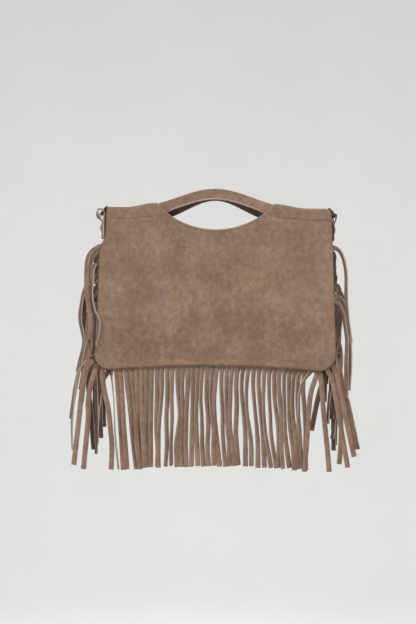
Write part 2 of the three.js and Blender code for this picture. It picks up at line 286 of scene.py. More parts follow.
# A darker copy of the suede, painted shade: it stands for shade on the flesh sides, inside the mouth, in the
# gap between the handle bands, on the side welts and on the right tab's cut edges.
SHADE_PAINTED_SUEDE = suede_finish(
    "inner_suede", (0.070, 0.043, 0.031), (0.095, 0.060, 0.043), (0.125, 0.081, 0.060)
)


def cut_edge_finish():
    material, shader, place = new_finish("cut_edge", 0.98, Specular_IOR_Level=0.1)
    fibre = cloudy(place, 900, 3.0, (1, 1, 1), 0.7)
    stops = {"stops": [(0.3, (0.215, 0.165, 0.132)), (0.7, (0.370, 0.308, 0.260))]}
    feed(shader, "Base Color", place.node("ShaderNodeValToRGB", stops, {"Fac": fibre}))
    add_bump(shader, fibre, 0.3, 0.0003)
    return material


CUT_EDGE = cut_edge_finish()
print("suede finishes:", [m.name for m in (SUEDE, SHADE_PAINTED_SUEDE, CUT_EDGE)])

# %% [markdown]
# ## Metal, cotton and thread
# The rings and rivets are brass plate darkened to an antique tone, which rubs bright on high
# places, so a noise mixes a brown film with bare brass and makes the film rougher. The lining is a
# plain cotton whose weave is two crossed waves. The thread is dark brown, its own colour with painted shade
# of its holes.

# %% Brass, steel, cotton and thread
def brass_finish():
    material, shader, place = new_finish("antique_brass", 0.35, 1.0)
    film = cloudy(place, 320, 4.0, (1, 1, 1), 0.65)
    stops = {"stops": [(0.36, (0.30, 0.21, 0.085)), (0.56, (0.038, 0.027, 0.015))]}
    feed(shader, "Base Color", place.node("ShaderNodeValToRGB", stops, {"Fac": film}))
    feed(shader, "Roughness", 0.16 + 0.34 * film)
    return material


def steel_finish():
    material, shader, place = new_finish("plain_steel", 0.4, 1.0)
    brushed = cloudy(place, 800, 2.0, (1, 1, 6))
    stops = {"stops": [(0.3, (0.36, 0.36, 0.35)), (0.7, (0.55, 0.55, 0.54))]}
    feed(shader, "Base Color", place.node("ShaderNodeValToRGB", stops, {"Fac": brushed}))
    feed(shader, "Roughness", 0.3 + 0.2 * brushed)
    return material


def cotton_finish():
    material, shader, place = new_finish("cotton", 0.92, Specular_IOR_Level=0.15)
    threads = []
    for axis in ("X", "Z"):
        settings = {"wave_type": "BANDS", "bands_direction": axis, "wave_profile": "SIN"}
        threads.append(place.node("ShaderNodeTexWave", settings, {"Vector": place, "Scale": 480.0}))
    weave = 0.5 * threads[0] + 0.5 * threads[1]
    slubs = cloudy(place, 160, 3.0, (1, 1, 4))
    stops = {"stops": [(0.2, (0.40, 0.32, 0.235)), (0.8, (0.60, 0.50, 0.385))]}
    shade = 0.5 * weave + 0.5 * slubs
    feed(shader, "Base Color", place.node("ShaderNodeValToRGB", stops, {"Fac": shade}))
    add_bump(shader, weave, 0.4, 0.0003)
    return material


def thread_and_hole_shade_finish():
    material, shader, place = new_finish("thread", 0.7, Specular_IOR_Level=0.25)
    twist = cloudy(place, 2200, 1.0, (3, 1, 1))
    # Much darker than the suede: the thread's own brown with painted shade of the stitch holes.
    stops = {"stops": [(0.3, (0.040, 0.026, 0.019)), (0.7, (0.075, 0.050, 0.037))]}
    feed(shader, "Base Color", place.node("ShaderNodeValToRGB", stops, {"Fac": twist}))
    add_bump(shader, twist, 0.5, 0.0002)
    return material


BRASS, STEEL, COTTON, THREAD_AND_HOLE_SHADE = brass_finish(), steel_finish(), cotton_finish(), thread_and_hole_shade_finish()

# %% [markdown]
# ## The outline
# Both panels are one pattern piece. Its sides widen a little downwards, its shoulders rise to a
# peak where each handle root goes in, and between the peaks the top edge is scooped out so a hand
# fits under the handles. The foot sags towards rounded corners. The model's boxes give the extents,
# and a few numbers of the pattern give the rest.

# %% Driving sizes of the pattern
panel_low, panel_high = (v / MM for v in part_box("front_panel"))
LEFT, RIGHT = -1, 1
SIDE_NAME = {LEFT: "left", RIGHT: "right"}

FOOT_HALF = panel_high.x  # half the width at the foot
TOP_HALF = FOOT_HALF - 7.0
PEAK_Z = panel_high.z
PEAK_X = 69.6
SHOULDER_Z = PEAK_Z - 5.2
SHOULDER_RUN = 40.4
SCOOP_Z = PEAK_Z - 31.1
CORNER_RADIUS = 21.0
CORNER_X = FOOT_HALF - CORNER_RADIUS
CORNER_Z = panel_low.z + CORNER_RADIUS
FOOT_Z = panel_low.z + 5.6
TOP_CORNER = {LEFT: 4.0, RIGHT: 9.0}
PINCH = {LEFT: 9.0, RIGHT: 0.0}
SIDE_TAKE = {LEFT: 3.2, RIGHT: 0.4}
PINCH_SPAN = (-45.0, -63.0)
PANEL = 1.4
MOUTH_DEPTH = 7.2
SEAM_DEPTH = 2.4
RIM = 2.2
BELLY = -panel_low.y - MOUTH_DEPTH
HEM = 14.4
print(f"foot {2 * FOOT_HALF:.0f} mm wide, belly {BELLY:.1f} mm beyond the mouth")

# %% The outline as functions of the place on the pattern
def half_width(z):
    return lerp(TOP_HALF, FOOT_HALF, clamp((SHOULDER_Z - z) / (SHOULDER_Z - CORNER_Z)))


def side_of(x):
    return LEFT if x < 0 else RIGHT


def drawn_in(side, z):
    """How far the panel's edge is drawn in, most of all beside the tab."""
    return lerp(SIDE_TAKE[side], PINCH[side], ease(z, PINCH_SPAN[1], PINCH_SPAN[0]))


def edge_x(side, z):
    return side * (half_width(z) - drawn_in(side, z))


def place_x(s, z, inset=0.0):
    """The place a share s of the way from the middle to a side."""
    side = side_of(s)
    return s * (half_width(z) - inset) - side * drawn_in(side, z) * ease(abs(s), 0.62, 1.0)


def top_z(x):
    a = abs(x)
    if a <= PEAK_X:
        return SCOOP_Z + 0.0055 * a * a + 4.5 * (a / PEAK_X) ** 6
    if a <= PEAK_X + SHOULDER_RUN:
        fall = 0.5 * (1 + math.cos(math.pi * (a - PEAK_X) / SHOULDER_RUN))
        return SHOULDER_Z + (PEAK_Z - SHOULDER_Z) * fall
    radius = TOP_CORNER[side_of(x)]
    past = clamp(a - TOP_HALF + radius, 0, radius)
    return SHOULDER_Z - radius + math.sqrt(radius * radius - past * past)


def foot_z(x, inset=0.0):
    a = min(abs(x), FOOT_HALF - inset)
    if a <= CORNER_X:
        return FOOT_Z - (FOOT_Z - panel_low.z) * (a / CORNER_X) ** 2 + inset
    radius = CORNER_RADIUS - inset
    return CORNER_Z - math.sqrt(max(0.0, radius * radius - (a - CORNER_X) ** 2))


def seam_distance(x, z):
    """How far a point is from the side and foot seams."""
    a = abs(x)
    if a > CORNER_X and z < CORNER_Z:
        return CORNER_RADIUS - math.hypot(a - CORNER_X, z - CORNER_Z)
    return min(abs(edge_x(side_of(x), z)) - a, z - foot_z(x))


def plain_depth(x, z):
    """The outer face's distance from the middle plane, before any dents."""
    inward = clamp(seam_distance(x, z) / RIM)
    rim = math.sqrt(1 - (1 - inward) ** 2)
    height = clamp((z - FOOT_Z) / (SCOOP_Z - 28.1 - FOOT_Z))
    belly = BELLY * (1 - (x / FOOT_HALF) ** 2) * 0.5 * (1 - math.cos(2 * math.pi * height))
    return SEAM_DEPTH + (MOUTH_DEPTH - SEAM_DEPTH) * rim + belly


# %% [markdown]
# ## The stitched hem, the seam roll and the soft dents
# Suede this thin never lies flat. The stitch row at the mouth pulls a shallow valley with a soft
# ridge under it, the turned seam shows as a roll with a valley inside it, and the empty bag has
# slack dents. All of that is relief of under a millimetre, added to the plain depth.

# %% Relief of the panels
def hem_line(x):
    """Height of the stitch row: level under the shoulders, and close to the edge in the scoop."""
    a = abs(x)
    under_shoulder = SHOULDER_Z - HEM + 4.2 * ease(a, 118, 60)
    in_scoop = top_z(x) - 3.2
    return min(in_scoop, lerp(in_scoop, under_shoulder, ease(a, 50, 57)))


def relief(x, z, seed):
    row = hem_line(x)
    stitched = 1 if abs(x) > 55 else 0.45
    valley = -0.42 * stitched * hump(z, row, 1.3)
    ridge = 0.34 * stitched * hump(z, row - 3.6, 2.2)
    hem = 0.25 * ease(z, row, row + 2.0)
    e = seam_distance(x, z)
    roll = -0.60 * hump(e, 8.2, 2.6) + 0.25 * hump(e, 3.6, 2.0)
    dents = 0.85 * noise.noise(Vector((x / 46, z / 38, seed)))
    creases = 0.32 * noise.noise(Vector((x / 17, z / 9, seed + 7)))
    slack = ease(e, 2, 22) * ease(top_z(x) - z, 0, 16)
    return valley + ridge + hem + roll + slack * (dents + creases)


def panel_face(s, z, seed):
    x = place_x(s, z)
    return Vector((x, -(plain_depth(x, z) + relief(x, z, seed)), z))


# %% [markdown]
# ## Front and back panels
# One pattern piece, cut twice. The grid's stations crowd towards the seams, where the suede rolls
# over in a few millimetres, and one station lies on each peak so that its corner stays crisp.

# %% Cut both panels
PEAK_SHARE = PEAK_X / TOP_HALF
inner_columns = even(0, PEAK_SHARE, 30) + even(PEAK_SHARE, 0.93, 27)[1:]
outer_columns = [1 - 0.07 * (1 - t) ** 1.6 for t in even(0, 1, 20)][1:]
PANEL_COLUMNS = both_ways(inner_columns + outer_columns)
foot_rows = [0.06 * t**1.6 for t in even(0, 1, 16)]
PANEL_ROWS = foot_rows + even(0.06, 0.84, 44)[1:] + even(0.84, 1, 30)[1:]


def panel_sheet(seed):
    def at(s, v):
        z = lerp(foot_z(s * FOOT_HALF), top_z(s * TOP_HALF), v)
        return panel_face(s, z, seed)

    bm = draped(PANEL_COLUMNS, PANEL_ROWS, at)
    worn = bm.verts.layers.float.new("worn")
    for vert in bm.verts:
        below = top_z(vert.co.x) - vert.co.z
        strength = lerp(0.25, 0.45, ease(abs(vert.co.x), 45, 58))
        strength = lerp(strength, 0.2, ease(abs(vert.co.x), PEAK_X - 3, PEAK_X + 5))
        vert[worn] = strength * (1 - ease(below, 0.4, 1.7))
        vert.co.y += 0.7 * (1 - ease(below, 0.0, 1.4))
    return bm


FRONT_DENTS, BACK_DENTS = 1.7, 5.3  # where each panel's dents lie in the noise
# The panels' flesh side, slot 2, is the darker suede copy: painted shade inside the bag.
PANEL_FINISHES = [SUEDE, CUT_EDGE, SHADE_PAINTED_SUEDE]
front_bag_panel = make_piece(
    "front_suede_panel", panel_sheet(FRONT_DENTS), PANEL_FINISHES, stands_for=["front_panel"]
)
back_bag_panel = make_piece(
    "back_suede_panel",
    facing_back(panel_sheet(BACK_DENTS)),
    PANEL_FINISHES,
    stands_for=["back_panel"],
)
for panel in (front_bag_panel, back_bag_panel):
    give_thickness(panel, PANEL)

# %% [markdown]
# ## Facings
# A band of suede is sewn inside each panel along the mouth. It hides the handle roots and carries
# the snap. It has the panel's top line, so the same outline functions make it.

# %% Cut both facings
FACING_DEPTH = 4.0
FACING_FOOT = SCOOP_Z - 26.1
FACING_INSET = 10.0


def facing_sheet():
    def at(s, v):
        z = lerp(FACING_FOOT, top_z(s * (TOP_HALF - FACING_INSET)) - 0.2, v)
        x = place_x(s, z, FACING_INSET)
        slack = 0.25 * noise.noise(Vector((x / 30, z / 20, 2.2)))
        return Vector((x, -FACING_DEPTH + 0.1 + slack, z))

    return draped(both_ways(even(0, PEAK_SHARE, 22) + even(PEAK_SHARE, 1, 22)[1:]), even(0, 1, 16), at)


for name, bm in (("front", facing_sheet()), ("back", facing_back(facing_sheet()))):
    # The facing's side towards its panel is the darker suede copy: painted shade behind the panel's top
    # edge.
    finishes = [SHADE_PAINTED_SUEDE, CUT_EDGE, SUEDE]
    facing = make_piece(
        f"{name}_mouth_facing", bm, finishes, stands_for=[f"{name}_facing"]
    )
    give_thickness(facing, 1.0)

# %% [markdown]
# ## Lining
# The lining is one length of cotton folded at the bottom and sewn up its sides. The grid runs down
# the front, round the fold and up the back, so it is truly one cloth, with soft creases.

# %% Fold the lining
LINING_TOP = FACING_FOOT - 2.0
LINING_INSET = 10.5


def lining_sheet():
    def at(s, t):
        level = abs(t)
        low = foot_z(s * (FOOT_HALF - LINING_INSET), LINING_INSET)
        z = lerp(low, LINING_TOP, level)
        x = place_x(s, z, LINING_INSET)
        room = plain_depth(x, z) - 2.6
        closed = math.sqrt(clamp(1 - ((abs(s) - 0.9) / 0.1) ** 2)) if abs(s) > 0.9 else 1
        folded = math.sqrt(clamp(1 - (1 - level / 0.04) ** 2)) if level < 0.04 else 1
        creases = 0.5 * noise.noise(Vector((x / 22, z / 40, 3 + math.copysign(2, t))))
        depth = 0.35 + (room - 0.6 + creases) * closed * folded
        return Vector((x, depth * math.copysign(1, t) if level > 0 else 0, z))

    rows = [math.copysign(abs(t) ** 1.5, t) for t in even(-1, 1, 72)]
    bm = draped(both_ways(even(0, 0.88, 30) + even(0.88, 1, 10)[1:]), rows, at)
    bmesh.ops.reverse_faces(bm, faces=bm.faces)
    return bm


lining = make_piece("cotton_lining", lining_sheet(), [COTTON], stands_for=["lining"])
folded_cloth = lining.modifiers.new("cloth", "SOLIDIFY")
folded_cloth.thickness = 0.4 * MM

# %% [markdown]
# ## Handles
# Each handle is one flat band of suede. It comes out between panel and facing, leans in to meet the
# other one in the hand, and its lower edge stands out a little, so the cut edge shows underneath.

# %% Bend both bands
BAND = 13.4
handle_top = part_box("front_handle")[1].z / MM
BAND_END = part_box("front_handle")[1].x / MM


def band_top(x):
    a = abs(x)
    return handle_top - 10.55 * (1 - math.cos(math.pi * a / 94)) - 3 * ease(a, 66, 76)


def band_sheet(drop, curl):
    straight = 0.56 * BAND

    def at(x, v):
        a = abs(x)
        rooted = ease(a, 18, 52)
        loose = 1 - ease(a, 50, 62)
        down = BAND * (1 - v)
        most = math.radians(curl) * loose + 0.01
        radius = (BAND - straight) / most
        bent = max(0.0, down - straight) / radius
        outer = lerp(2.8, 5.5, rooted) + 0.10 * down * loose + radius * (1 - math.cos(bent))
        z = band_top(x) - drop * ease(a, 0, 52) - min(down, straight) - radius * math.sin(bent)
        return Vector((x, -outer, z))

    return draped(even(-BAND_END, BAND_END, 120), even(0, 1, 16), at)


# The rear band's side towards the front band is the darker suede: painted shade of the gap between the
# bands.
for name, bm in (("front", band_sheet(0.8, 84)), ("back", facing_back(band_sheet(7.0, 16)))):
    band = make_piece(
        f"{name}_handle_band", bm, PANEL_FINISHES, stands_for=[f"{name}_handle"]
    )
    give_thickness(band, 2.0 if name == "front" else 1.3)

# %% [markdown]
# ## A strand of fringe
# The fringe is a strip of suede slit into strands, sewn into the seam. A strand leaves the seam
# squarely and gravity bends it down. At the sides it has to turn by about a quarter to do that, so
# some show their faces and some only their cut edges. One blank is cut, slit-edged and divided once,
# and each strand is a copy carried along its own line, which a few angles describe.

# %% The blank and the line that it follows
STRAND_STEPS = 32
STRAND_WIDTH = 6.0
STRAND_THICKNESS = 1.6
STRAND_LENGTH = 124.0


def strand_blank():
    bm = bmesh.new()
    bmesh.ops.create_cube(bm, size=1)
    bmesh.ops.translate(bm, vec=(0, 0, -0.5), verts=bm.verts)
    long_edges = [e for e in bm.edges if abs(e.verts[0].co.z - e.verts[1].co.z) > 0.5]
    for edge in bm.edges:
        edge.smooth = False
    bmesh.ops.subdivide_edges(bm, edges=long_edges, cuts=STRAND_STEPS - 1)
    for edge in bm.edges:
        if abs(edge.verts[0].co.z - edge.verts[1].co.z) < 1e-5 and -0.99 < edge.verts[0].co.z < -0.01:
            edge.smooth = True
    bmesh.ops.scale(bm, vec=(STRAND_WIDTH, STRAND_THICKNESS, 1), verts=bm.verts)
    bm.normal_update()
    for face in bm.faces:
        face.material_index = 0 if abs(face.normal.y) > 0.7 else 1
    mesh = bpy.data.meshes.new("strand_blank")
    bm.to_mesh(mesh)
    bm.free()
    return mesh


BLANK = strand_blank()


@dataclass
class Strand:
    """A strand through places in the bag's plane, (x, z) in mm, the first of them in the seam.

    It sways to the depths in rows, and its width is turned out of the plane by turns, in degrees.
    Both are spread evenly from root to tip.
    """

    places: list
    rows: tuple = (0, 0)
    turns: tuple = (0, 0)
    # A tone near zero is the strand's own colour; strongly negative tones are painted shade on strands that
    # hang behind.
    tone: float = 0.0
    length: float = STRAND_LENGTH

    def line(self):
        """The place, the width's direction and the thickness's direction at each step."""
        depths = flowing([Vector((row, 0, 0)) for row in (0, *self.rows)])
        turned = flowing([Vector((turn, 0, 0)) for turn in self.turns])
        curve = flowing([Vector((x, 0, z)) for x, z in self.places])
        flat = walked(curve, self.length, STRAND_STEPS)
        places = []
        for k, (place, heading) in enumerate(flat):
            depth = depths[round(k / STRAND_STEPS * (len(depths) - 1))].x
            places.append(place + Vector((0, depth * ease(k * self.length / STRAND_STEPS, 5, 26), 0)))
        stations = []
        for k, place in enumerate(places):
            along = (places[min(k + 1, STRAND_STEPS)] - places[max(k - 1, 0)]).normalized()
            across = Vector((0, 1, 0)).cross(along).normalized() * -1
            out = along.cross(across)
            turn = math.radians(turned[round(k / STRAND_STEPS * (len(turned) - 1))].x)
            turn *= ease(k * self.length / STRAND_STEPS, 1, 13)
            wide = across * math.cos(turn) + out * math.sin(turn)
            stations.append((place, wide, along.cross(wide)))
        return stations


def hang(bm, tone_and_shade_layer, strand):
    start = len(bm.verts)
    bm.from_mesh(BLANK)
    bm.verts.ensure_lookup_table()
    stations = strand.line()
    for vert in bm.verts[start:]:
        place, wide, thick = stations[round(-vert.co.z * STRAND_STEPS)]
        # Painted shade across each strand: one long side is lighter, the other darker, where the
        # neighbouring strand shades it.
        vert[tone_and_shade_layer] = strand.tone + (0.08 if vert.co.x < 0 else -0.05)
        vert.co = place + wide * vert.co.x + thick * vert.co.y


def hem_strip(bm, rim):
    """The uncut strip in the seam, from a row of (place, outward) along the rim."""
    strip = bmesh.new()
    bmesh.ops.create_grid(strip, x_segments=len(rim) - 1, y_segments=1, size=0.5)
    for vert in strip.verts:
        place, outward = rim[round((vert.co.x + 0.5) * (len(rim) - 1))]
        vert.co = place + outward * (1.2 if vert.co.y > 0 else -7.0)
    bmesh.ops.solidify(strip, geom=strip.faces[:], thickness=1.0)
    bmesh.ops.translate(strip, vec=(0, 0.5, 0), verts=strip.verts)
    bmesh.ops.recalc_face_normals(strip, faces=strip.faces)
    mesh = bpy.data.meshes.new("strip")
    strip.to_mesh(mesh)
    strip.free()
    bm.from_mesh(mesh)
    bpy.data.meshes.remove(mesh)


def rim_place(side, turn):
    """A place on a rounded foot corner, turn degrees outward from straight down."""
    a = math.radians(turn)
    outward = Vector((side * math.sin(a), 0, -math.cos(a)))
    middle = Vector((side * (CORNER_X - SIDE_TAKE[side]), 0, CORNER_Z))
    return middle + outward * CORNER_RADIUS, outward


# %% [markdown]
# ## Hang the fringe
# Forty-one strands hang from the foot and two more start on each corner. Twenty-one run up each side,
# with three more where the side turns into its corner.
# A smooth noise over the width and the depth moves neighbours together and apart, which opens the
# long gaps of a real fringe. Strands towards the middle stand like louvres, a cut edge forward, and
# those towards the left corner lie flat. The few that set the outline at the sides are listed one by one.

# %% Foot strands
PITCH = 6.25
ROOT_IN = 3.0  # how deep a strand's root is in the seam
FOOT_STRANDS = 41


def fringe_piece(name, strands, rim, stands_for):
    bm = bmesh.new()
    tone_and_shade_layer = bm.verts.layers.float.new("tone")
    hem_strip(bm, rim)
    for strand in strands:
        hang(bm, tone_and_shade_layer, strand)
    piece = make_piece(name, bm, [SUEDE, CUT_EDGE], stands_for=[stands_for])
    return piece


def foot_drift(x, depth):
    """Sideways drift of the foot's strands at a depth under the seam."""
    fanned = 0.092 * depth * (1 - ease(x, -112, -62))
    sway = 4.2 - 1.4 * hump(x, 62, 18) + 1.4 * ease(x, 80, 110)
    bowed = -sway * math.sin(math.pi * math.sqrt(clamp(depth / 124))) * ease(x, -45, 15)
    settled = 5.5 * hump(x, 64, 26) * ease(depth, 30, 124)
    calm = lerp(1.6, 4.6, ease(x, -84, -56))
    loose = calm * noise.noise(Vector((x / 9.5, depth / 54, 9.3))) * ease(depth, 4, 60)
    return fanned + bowed + settled + loose


def settle_ends(strands):
    """The last strands of the foot, next to the corners, are given one by one."""
    left, near_left, *_, near_right, right = strands
    left.places[1:] = [(-123, -213), (-120, -242), (-118, -282), (-113.6, -326)]
    left.turns = (70, 84, 80, 76)
    left.rows = (1, 0, 1)
    near_left.places[1:] = [(-117, -210), (-112.5, -262), (-107.6, -326)]
    near_left.turns = (-4, -16, -10)
    near_right.places[1:] = [(112, -212), (105.5, -222), (102, -236), (102, -256), (100.6, -290), (96, -326)]
    near_right.turns = (-60, -66, -50, -30)
    right.places[1:] = [(122, -215), (116.8, -231), (114, -254), (112, -290), (109, -328)]
    right.turns = (-10, -24, -20)
    right.rows = (-2, -3, -3)


def foot_strands():
    draw = random.Random(11)
    strands = []
    for i in range(FOOT_STRANDS):
        x = PITCH * (i - FOOT_STRANDS // 2)
        top = foot_z(x) + ROOT_IN
        louvre = ease(x, -96, -70) * (1 - ease(x, 118, 130))
        own = draw.uniform(-2.4, 2.4)
        places = [(x, top)]
        for depth in (10, 26, 44, 62, 80, 98, 124):
            places.append((x + foot_drift(x, depth) + own * depth / 110, top - depth))
        strand = Strand(places)
        strand.rows = (draw.uniform(-2, 2), draw.uniform(-4, 4), draw.uniform(-5, 5))
        flat = (draw.uniform(-28, -16), draw.uniform(-34, -8), draw.uniform(-30, 6))
        stood = (draw.uniform(-46, -32), draw.uniform(-62, -28), draw.uniform(-56, -4))
        strand.turns = tuple(lerp(a, b, louvre) for a, b in zip(flat, stood))
        strand.length = STRAND_LENGTH + draw.uniform(-1.0, 1.2)
        strand.tone = draw.uniform(-0.03, 0.06)
        strands.append(strand)
    settle_ends(strands)
    return strands


def rooted(side, turn, places, **rest):
    """A corner strand, its root in the seam turn degrees up from the foot."""
    place, outward = rim_place(side, turn)
    root = place - outward * ROOT_IN
    first = place + outward * 4
    return Strand([(root.x, root.z), (first.x, first.z), *places], **rest)


left_corner = [
    rooted(
        LEFT, 28,
        [(-133, -221), (-130.6, -236), (-126.4, -254), (-123.7, -277), (-121.6, -301), (-122.5, -330)],
        turns=(10, 16, 20), length=127,
    ),
    # This strand hangs behind the corner; its low tone is painted shade.
    rooted(
        LEFT, 12, [(-134, -222), (-138, -250), (-141, -306)],
        rows=(5, 7), turns=(10, 64, 60), tone=-0.28, length=108,
    ),
]
right_corner = [
    rooted(
        RIGHT, 6, [(129, -222), (130.5, -240), (133.4, -270), (137, -302), (139.4, -330)],
        rows=(-1, -2), turns=(24, 30, 20),
    ),
    rooted(
        RIGHT, 30, [(142, -217), (146, -236), (150.5, -262), (156, -292), (161.5, -324)],
        rows=(-1, -3), turns=(6, 8, 2),
    ),
]
foot_rim = [rim_place(LEFT, turn) for turn in even(43, 0, 6)]
foot_rim += [(Vector((x, 0, foot_z(x))), Vector((0, 0, -1))) for x in even(-CORNER_X + 4, CORNER_X - 1, 40)]
foot_rim += [rim_place(RIGHT, turn) for turn in even(0, 43, 6)]
fringe_piece("foot_fringe", foot_strands() + left_corner + right_corner, foot_rim, "fringe_bottom")

# %% Side strands
SIDE_TOP = -58.0
SIDE_STRANDS = 21


def side_root(side, i):
    z = SIDE_TOP - PITCH * i
    return edge_x(side, z) - side * ROOT_IN, z


def set_strand(side, i, places, **rest):
    """A strand from given places; its places are (how far out from the seam, z)."""
    root = side_root(side, i)
    plain = side * (half_width(root[1]) - SIDE_TAKE[side])
    out = [(plain + side * reach, z) for reach, z in places]
    return Strand([root, *out], **rest)


def tucked(side, i, draw):
    """A strand that turns down close to the seam and hangs behind the bag's edge."""
    root = side_root(side, i)
    z = root[1]
    taken = drawn_in(side, z) - SIDE_TAKE[side]
    reach = draw.uniform(0.2, 1.8) + 2.0 * ease(i, 9, 14) - taken
    if side == LEFT and i < 9:
        reach += 3
    drift = draw.uniform(-7, 1)
    places = [(reach, z - 1.6), (reach + 0.4, z - 8), (reach - 3, z - 30), (reach + drift, z - 124)]
    strand = set_strand(side, i, places)
    strand.rows = (draw.uniform(1, 4), draw.uniform(5, 9), draw.uniform(5, 10))
    strand.turns = (draw.uniform(0, 30), draw.uniform(0, 50), draw.uniform(0, 50))
    # Painted shade: strands hanging behind the bag's edge are darkened by a low tone.
    strand.tone = draw.uniform(-0.44, -0.30)
    return strand


def side_strands(side, by_hand, corner, seed):
    draw = random.Random(seed)
    strands = [by_hand.get(i) or tucked(side, i, draw) for i in range(SIDE_STRANDS)]
    return strands + corner


def hand_placed(side, table):
    """Strands given one by one, by their number up the side: their places, and what else they have."""
    return {i: set_strand(side, i, places, **rest) for i, (places, rest) in table.items()}


# Tones of -0.2 and below are painted shade on strands that hang behind the edge; small tones are each
# strand's own colour.
left_table = {
    0: (
        [(2, -60), (10, -65), (15.2, -76), (15.6, -98), (14.6, -118), (11.5, -134), (9.5, -150), (12, -174)],
        dict(rows=(-1, -3, -4), turns=(48, 46, 12, 16, 24)),
    ),
    1: (
        [(2, -65), (7.6, -70), (10.4, -80), (11.6, -94), (10, -116), (8, -146), (10, -170), (12, -190)],
        dict(rows=(0, -1, 0), turns=(40, 40, 30, 30, 20), tone=-0.04),
    ),
    3: (
        [(4, -80), (6.6, -88), (6.8, -104), (6.8, -122), (3.4, -136), (-1.6, -148), (-1.4, -162), (2, -176)],
        dict(rows=(-3, -7, -11, -12, -10), turns=(50, 78, 82, 70, 74), length=108),
    ),
    5: (
        [(3, -91), (7, -97), (8.6, -112), (9, -140), (10, -164), (12.5, -184), (16, -210)],
        dict(rows=(1, 3, 3), turns=(30, 60, 30, 40), tone=-0.10),
    ),
    6: (
        [(3, -96), (9, -103), (14, -117), (17, -134), (16.4, -150), (13.5, -166), (15, -190), (18, -208)],
        dict(rows=(3, 6, 5, 4), turns=(10, 30, 10, 30), tone=-0.36),
    ),
    7: (
        [(4, -101), (15, -108), (20, -128), (21.4, -146), (18.5, -162), (17, -174), (21, -196), (25, -216)],
        dict(rows=(1, 2, 1), turns=(40, 60, 50, 66, 40), tone=-0.03),
    ),
    9: (
        [(3, -116), (8, -124), (10, -140), (12, -160), (13, -180), (15, -204), (20, -236)],
        dict(rows=(0, -1, 0), turns=(30, 30, 16, 24), tone=-0.05),
    ),
    11: (
        [(2, -129), (5, -136), (7, -156), (8, -176), (12, -200), (16, -232)],
        dict(rows=(0, -3, -2), turns=(20, 44, 30, 24)),
    ),
    14: (
        [(3, -147), (9, -158), (13, -176), (18, -198), (24.5, -230), (30, -268)],
        dict(rows=(-1, -1, 0), turns=(40, 62, 46, 56), length=129),
    ),
    16: (
        [(2, -159), (3, -170), (-4, -200), (-8, -240), (-10, -272)],
        dict(rows=(3, 7, 8), turns=(10, 20, 30), tone=-0.30),
    ),
    18: (
        [(2, -172), (2, -186), (-3, -208), (-6, -250), (-7, -288)],
        dict(rows=(2, 5, 6), turns=(10, 30, 20), tone=-0.26),
    ),
    19: (
        [(3, -178), (4, -190), (0, -214), (-2, -250), (-3, -296)],
        dict(rows=(1, 3, 4), turns=(10, 40, 50), tone=-0.20),
    ),
    20: (
        [(2, -186.5), (5, -198), (7, -214), (7, -236), (4, -262), (2, -290), (0, -310)],
        dict(rows=(2, 5, 6, 6), turns=(0, 20, 30), tone=-0.34),
    ),
}
left_high_corner = [
    rooted(
        LEFT, 84, [(-157, -199), (-163.5, -211), (-167, -238), (-169.6, -272), (-168.4, -312)],
        rows=(-2, -3), turns=(64, 78, 70, 80), length=128,
    ),
    rooted(
        LEFT, 66, [(-150.6, -202), (-155.8, -217), (-158.8, -241), (-161, -265), (-167, -322)],
        rows=(-4, -3), turns=(14, 8, 4), length=136,
    ),
    rooted(
        LEFT, 46, [(-143.4, -211), (-147.6, -226), (-150.6, -246), (-150.2, -265), (-155.6, -328)],
        rows=(-3, -2), turns=(10, 12, 6), length=132,
    ),
]
# Tones of -0.2 and below are painted shade on strands that hang behind the edge; small tones are each
# strand's own colour.
right_table = {
    0: (
        [
            (4, -59), (9.6, -63.5), (14, -75), (16.4, -90),
            (16.6, -106), (16.8, -126), (18.4, -148), (22.5, -174),
        ],
        dict(rows=(-1, -2, -1), turns=(62, 68, 66, 44, 30)),
    ),
    7: (
        [(4, -104), (6.5, -110), (5, -120), (2, -140), (-8, -176), (-13, -222)],
        dict(rows=(2, 7, 8, 8), turns=(-20, -40, 10, 0), tone=-0.26),
    ),
    8: (
        [(5, -110), (9.5, -117), (9, -130), (5, -150), (-4, -180), (-9, -232)],
        dict(rows=(1, 5, 8, 8), turns=(-10, -30, 10, 10), tone=-0.30),
    ),
    9: (
        [(6, -118), (11, -124), (14.5, -136), (18, -152), (20, -172), (20.4, -196), (19.5, -222)],
        dict(rows=(0, -1, 0), turns=(30, 62, 74, 66, 74), tone=-0.06),
    ),
    10: (
        [(5, -126), (10, -136), (13.5, -154), (15.6, -170), (15, -196), (15.4, -222), (15, -248)],
        dict(rows=(-1, -2, -2), turns=(30, 64, 58, 46, 54)),
    ),
    11: (
        [(3, -130), (6, -139), (6, -160), (0, -180), (-9, -208), (-10.5, -244)],
        dict(rows=(2, 5, 7, 7), turns=(0, -30, 20, 10), tone=-0.36),
    ),
    15: (
        [(3, -154), (5, -166), (3, -190), (-3, -220), (-6, -250), (-7, -276)],
        dict(rows=(2, 6, 8, 8), turns=(20, 50, 70, 70), tone=-0.36),
    ),
    17: (
        [(3, -166), (3, -176), (-2, -192), (-12, -214), (-20, -242), (-29, -290)],
        dict(rows=(2, 6, 8, 8), turns=(20, 20, 14, 4), tone=-0.28),
    ),
    18: (
        [(3, -172), (6, -186), (6, -206), (2, -240), (0, -270), (-4, -300)],
        dict(rows=(1, 5, 6, 6), turns=(10, 40, 60, 60), tone=-0.24),
    ),
}
